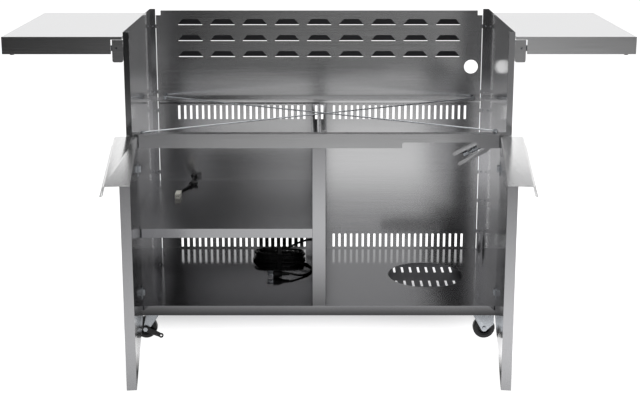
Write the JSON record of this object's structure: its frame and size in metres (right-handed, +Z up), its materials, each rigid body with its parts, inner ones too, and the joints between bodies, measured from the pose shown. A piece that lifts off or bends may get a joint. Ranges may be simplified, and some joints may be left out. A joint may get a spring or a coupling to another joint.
{
  "type": "grill cart",
  "caption": "Stainless steel cart for a drop-in grill: open-topped two-door cabinet with fold-down side shelves, vented back, tank bay and casters.",
  "frame": {"origin": "on the ground, below the middle of the cabinet's front plane", "axes": "+X to the viewer's right across the cart, +Y from the doors to the back, +Z up"},
  "size_m": [1.729, 1.0771, 0.904],
  "materials": {
    "stainless_brushed": "brushed stainless sheet",
    "stainless_bright": "bright annealed stainless sheet",
    "stainless_top": "fine brushed stainless, pale",
    "zinc_plate": "bright zinc plating",
    "black_rubber": "black rubber",
    "tread_rubber": "hard black rubber tread",
    "black_plastic": "moulded black plastic",
    "cord_pvc": "glossy black PVC",
    "white_nylon": "natural white nylon"
  },
  "bodies": {
    "root": {"left_side_panel": "stainless_bright", "right_side_panel": "stainless_bright", "upper_back_panel": "stainless_brushed", "lower_back_panel": "stainless_brushed", "rear_rail": "stainless_bright", "front_rail": "stainless_brushed", "floor_panel": "stainless_bright", "tank_pan": "stainless_bright", "left_base_channel": "stainless_brushed", "right_base_channel": "stainless_brushed", "centre_mullion": "stainless_brushed", "divider_panel": "stainless_brushed", "interior_shelf": "stainless_bright", "lower_cross_rod": "zinc_plate", "upper_cross_rod": "zinc_plate", "cross_rod_bolts": "zinc_plate", "fork_bracket": "stainless_brushed", "fork_bolt": "zinc_plate", "door_magnets": "black_plastic", "back_panel_screws": "zinc_plate", "left_shelf_brackets": "stainless_brushed", "right_shelf_brackets": "stainless_brushed", "left_hinge_arms": "zinc_plate", "right_hinge_arms": "zinc_plate", "swivel_caster_plates": "zinc_plate", "rigid_caster_frames": "zinc_plate", "caster_bolts": "zinc_plate", "cord_glands": "black_plastic", "mains_lead": "cord_pvc", "mains_hank": "cord_pvc", "hank_tie": "black_rubber", "mains_plug": "cord_pvc", "supply_lead": "cord_pvc", "supply_splitter": "black_plastic", "supply_connector": "white_nylon"},
    "left_door": {"left_door_skin": "stainless_brushed", "left_door_liner": "stainless_brushed", "left_door_handle": "stainless_bright", "left_door_hinges": "zinc_plate"},
    "right_door": {"right_door_skin": "stainless_brushed", "right_door_liner": "stainless_brushed", "right_door_handle": "stainless_bright", "right_door_hinges": "zinc_plate"},
    "left_shelf": {"left_side_shelf": "stainless_top", "left_shelf_stiffener": "stainless_brushed", "left_shelf_hinges": "zinc_plate", "left_shelf_bumpers": "black_rubber"},
    "right_shelf": {"right_side_shelf": "stainless_top", "right_shelf_stiffener": "stainless_brushed", "right_shelf_hinges": "zinc_plate", "right_shelf_bumpers": "black_rubber"},
    "front_left_caster": {"front_left_fork": "zinc_plate"},
    "rear_left_caster": {"rear_left_fork": "zinc_plate"},
    "front_left_brake": {"front_left_pedal": "black_plastic"},
    "rear_left_brake": {"rear_left_pedal": "black_plastic"},
    "front_left_roller": {"front_left_wheel": "tread_rubber"},
    "rear_left_roller": {"rear_left_wheel": "tread_rubber"},
    "front_right_roller": {"front_right_wheel": "tread_rubber"},
    "rear_right_roller": {"rear_right_wheel": "tread_rubber"}
  },
  "joints": [
    {"name": "left_door_swing", "type": "hinge", "parent": "root", "child": "left_door", "pos_m": [-0.517, -0.0187, 0.34], "axis": [0, 0, 1], "range_deg": [-11.4, 83.6]},
    {"name": "right_door_swing", "type": "hinge", "parent": "root", "child": "right_door", "pos_m": [0.517, -0.0187, 0.34], "axis": [0, 0, 1], "range_deg": [-83.6, 11.4]},
    {"name": "left_shelf_fold", "type": "hinge", "parent": "root", "child": "left_shelf", "pos_m": [-0.5525, 0.269, 0.859], "axis": [0, 1, 0], "range_deg": [-90, 0]},
    {"name": "right_shelf_fold", "type": "hinge", "parent": "root", "child": "right_shelf", "pos_m": [0.5525, 0.269, 0.859], "axis": [0, 1, 0], "range_deg": [0, 90]},
    {"name": "front_left_swivel", "type": "hinge", "parent": "root", "child": "front_left_caster", "pos_m": [-0.48, 0.057, 0.08], "axis": [0, 0, 1], "continuous": true},
    {"name": "front_left_roll", "type": "hinge", "parent": "front_left_caster", "child": "front_left_roller", "pos_m": [-0.503, 0.057, 0.03175], "axis": [0, 1, 0], "continuous": true},
    {"name": "front_left_pedal_press", "type": "hinge", "parent": "front_left_caster", "child": "front_left_brake", "pos_m": [-0.503, 0.057, 0.03175], "axis": [0, 1, 0], "range_deg": [-25, 0]},
    {"name": "front_right_roll", "type": "hinge", "parent": "root", "child": "front_right_roller", "pos_m": [0.48, 0.057, 0.03175], "axis": [0, 1, 0], "continuous": true},
    {"name": "rear_left_swivel", "type": "hinge", "parent": "root", "child": "rear_left_caster", "pos_m": [-0.48, 0.476, 0.08], "axis": [0, 0, 1], "continuous": true},
    {"name": "rear_left_roll", "type": "hinge", "parent": "rear_left_caster", "child": "rear_left_roller", "pos_m": [-0.503, 0.476, 0.03175], "axis": [0, 1, 0], "continuous": true},
    {"name": "rear_left_pedal_press", "type": "hinge", "parent": "rear_left_caster", "child": "rear_left_brake", "pos_m": [-0.503, 0.476, 0.03175], "axis": [0, 1, 0], "range_deg": [-25, 0]},
    {"name": "rear_right_roll", "type": "hinge", "parent": "root", "child": "rear_right_roller", "pos_m": [0.48, 0.476, 0.03175], "axis": [0, 1, 0], "continuous": true}
  ]
}
